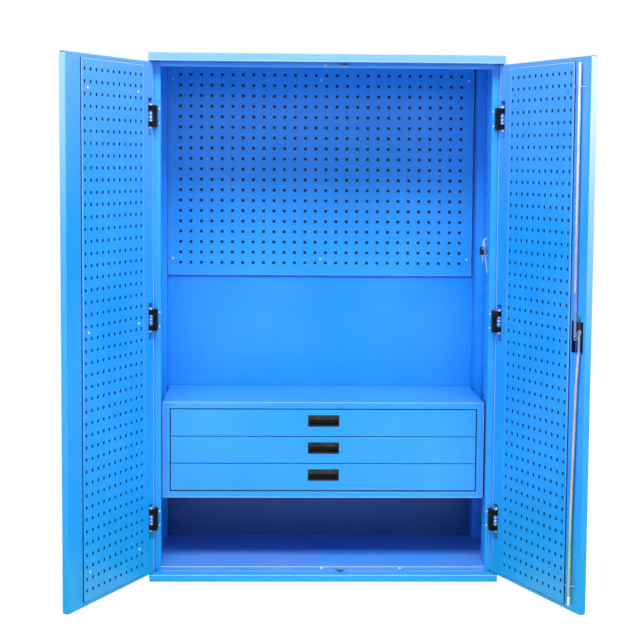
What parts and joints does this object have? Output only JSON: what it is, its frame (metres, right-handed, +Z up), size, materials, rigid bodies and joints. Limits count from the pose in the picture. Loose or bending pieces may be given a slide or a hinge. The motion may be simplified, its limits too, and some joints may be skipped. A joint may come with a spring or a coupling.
{
  "type": "material storage cabinet",
  "caption": "Tall sheet-steel storage cabinet with hinged double doors, square-holed tool sheets inside, slotted posts and a low case of shallow drawers on runners.",
  "frame": {"origin": "on the ground, at the middle of the base's footprint", "axes": "+Z up, +X to the right seen from the front, +Y from the doors to the back wall; the doors stand open in the rest pose"},
  "size_m": [1.633, 1.0961, 1.788],
  "materials": {
    "blue_powder_coat": "semi-gloss powder coat",
    "black_plastic": "fine moulded grain",
    "white_plastic": "smooth",
    "black_steel": "satin black paint",
    "zinc_steel": "bright zinc plate",
    "rod_steel": "drawn, zinc plated",
    "white_cord": "matt thread"
  },
  "bodies": {
    "carcass": {"back_panel": "blue_powder_coat", "back_sheet": "blue_powder_coat", "base_plinth": "blue_powder_coat", "floor_panel": "blue_powder_coat", "front_left_post": "blue_powder_coat", "front_right_post": "blue_powder_coat", "header": "blue_powder_coat", "hinge_backing_plates": "zinc_steel", "hinge_blocks": "black_steel", "hinge_pins": "zinc_steel", "hinge_screws": "zinc_steel", "key_string": "white_cord", "left_side_panel": "blue_powder_coat", "left_stile": "blue_powder_coat", "panel_screws": "zinc_steel", "rear_left_post": "blue_powder_coat", "rear_right_post": "blue_powder_coat", "right_side_panel": "blue_powder_coat", "right_stile": "blue_powder_coat", "rod_keepers": "zinc_steel", "slide_outer_members": "zinc_steel", "spare_keys": "zinc_steel", "top_cap": "blue_powder_coat", "unit_clips": "blue_powder_coat", "unit_front_frame": "blue_powder_coat", "unit_shell": "blue_powder_coat"},
    "left_door": {"left_door_shell": "blue_powder_coat", "left_door_sheet": "blue_powder_coat", "left_door_screws": "zinc_steel", "left_hinge_leaves": "blue_powder_coat"},
    "right_door": {"right_door_shell": "blue_powder_coat", "right_door_sheet": "blue_powder_coat", "right_door_screws": "blue_powder_coat", "right_hinge_leaves": "blue_powder_coat", "rod_guides": "rod_steel", "lock_body": "black_plastic", "lock_clamp": "rod_steel", "handle_plate": "black_plastic"},
    "handle": {"door_handle": "black_steel", "lock_cam": "rod_steel"},
    "key_barrel": {"key_cylinder": "zinc_steel"},
    "upper_rod": {"upper_lock_rod": "rod_steel"},
    "lower_rod": {"lower_lock_rod": "rod_steel", "lower_rod_tip": "white_plastic"},
    "drawer_1": {"drawer_1_box": "blue_powder_coat", "drawer_1_front": "blue_powder_coat", "drawer_1_grip": "black_plastic", "drawer_1_slide_inner": "zinc_steel"},
    "drawer_1_slides": {"drawer_1_slide_middle": "zinc_steel"},
    "drawer_2": {"drawer_2_box": "blue_powder_coat", "drawer_2_front": "blue_powder_coat", "drawer_2_grip": "black_plastic", "drawer_2_slide_inner": "zinc_steel"},
    "drawer_2_slides": {"drawer_2_slide_middle": "zinc_steel"},
    "drawer_3": {"drawer_3_box": "blue_powder_coat", "drawer_3_front": "blue_powder_coat", "drawer_3_grip": "black_plastic", "drawer_3_slide_inner": "zinc_steel"},
    "drawer_3_slides": {"drawer_3_slide_middle": "zinc_steel"}
  },
  "joints": [
    {"name": "left_door_hinge", "type": "hinge", "parent": "carcass", "child": "left_door", "pos_m": [-0.5885, -0.2605, 0.8935], "axis": [0, 0, -1], "range_deg": [-112.7, 2.3]},
    {"name": "right_door_hinge", "type": "hinge", "parent": "carcass", "child": "right_door", "pos_m": [0.5885, -0.2605, 0.8935], "axis": [0, 0, 1], "range_deg": [-109.9, 5.1]},
    {"name": "handle_turn", "type": "hinge", "parent": "right_door", "child": "handle", "pos_m": [0.79711, -0.76481, 0.901], "axis": [0.9403, 0.3404, 0], "range_deg": [0, 90]},
    {"name": "key_turn", "type": "hinge", "parent": "handle", "child": "key_barrel", "pos_m": [0.79711, -0.76481, 0.901], "axis": [0.9403, 0.3404, 0], "range_deg": [0, 90]},
    {"name": "upper_rod_slide", "type": "slide", "parent": "right_door", "child": "upper_rod", "axis": [0, 0, 1], "range_m": [0, 0.0184]},
    {"name": "lower_rod_slide", "type": "slide", "parent": "right_door", "child": "lower_rod", "axis": [0, 0, -1], "range_m": [0, 0.0184]},
    {"name": "drawer_1_pull", "type": "slide", "parent": "carcass", "child": "drawer_1", "axis": [0, -1, 0], "range_m": [0, 0.38]},
    {"name": "drawer_1_slides_follow", "type": "slide", "parent": "carcass", "child": "drawer_1_slides", "axis": [0, -1, 0], "range_m": [0, 0.19]},
    {"name": "drawer_2_pull", "type": "slide", "parent": "carcass", "child": "drawer_2", "axis": [0, -1, 0], "range_m": [0, 0.38]},
    {"name": "drawer_2_slides_follow", "type": "slide", "parent": "carcass", "child": "drawer_2_slides", "axis": [0, -1, 0], "range_m": [0, 0.19]},
    {"name": "drawer_3_pull", "type": "slide", "parent": "carcass", "child": "drawer_3", "axis": [0, -1, 0], "range_m": [0, 0.38]},
    {"name": "drawer_3_slides_follow", "type": "slide", "parent": "carcass", "child": "drawer_3_slides", "axis": [0, -1, 0], "range_m": [0, 0.19]}
  ],
  "couplings": [
    {"joint": "upper_rod_slide", "follows": "handle_turn", "m_per_rad": 0.011704},
    {"joint": "lower_rod_slide", "follows": "handle_turn", "m_per_rad": 0.011704},
    {"joint": "drawer_1_slides_follow", "follows": "drawer_1_pull", "ratio": 0.5},
    {"joint": "drawer_2_slides_follow", "follows": "drawer_2_pull", "ratio": 0.5},
    {"joint": "drawer_3_slides_follow", "follows": "drawer_3_pull", "ratio": 0.5}
  ]
}
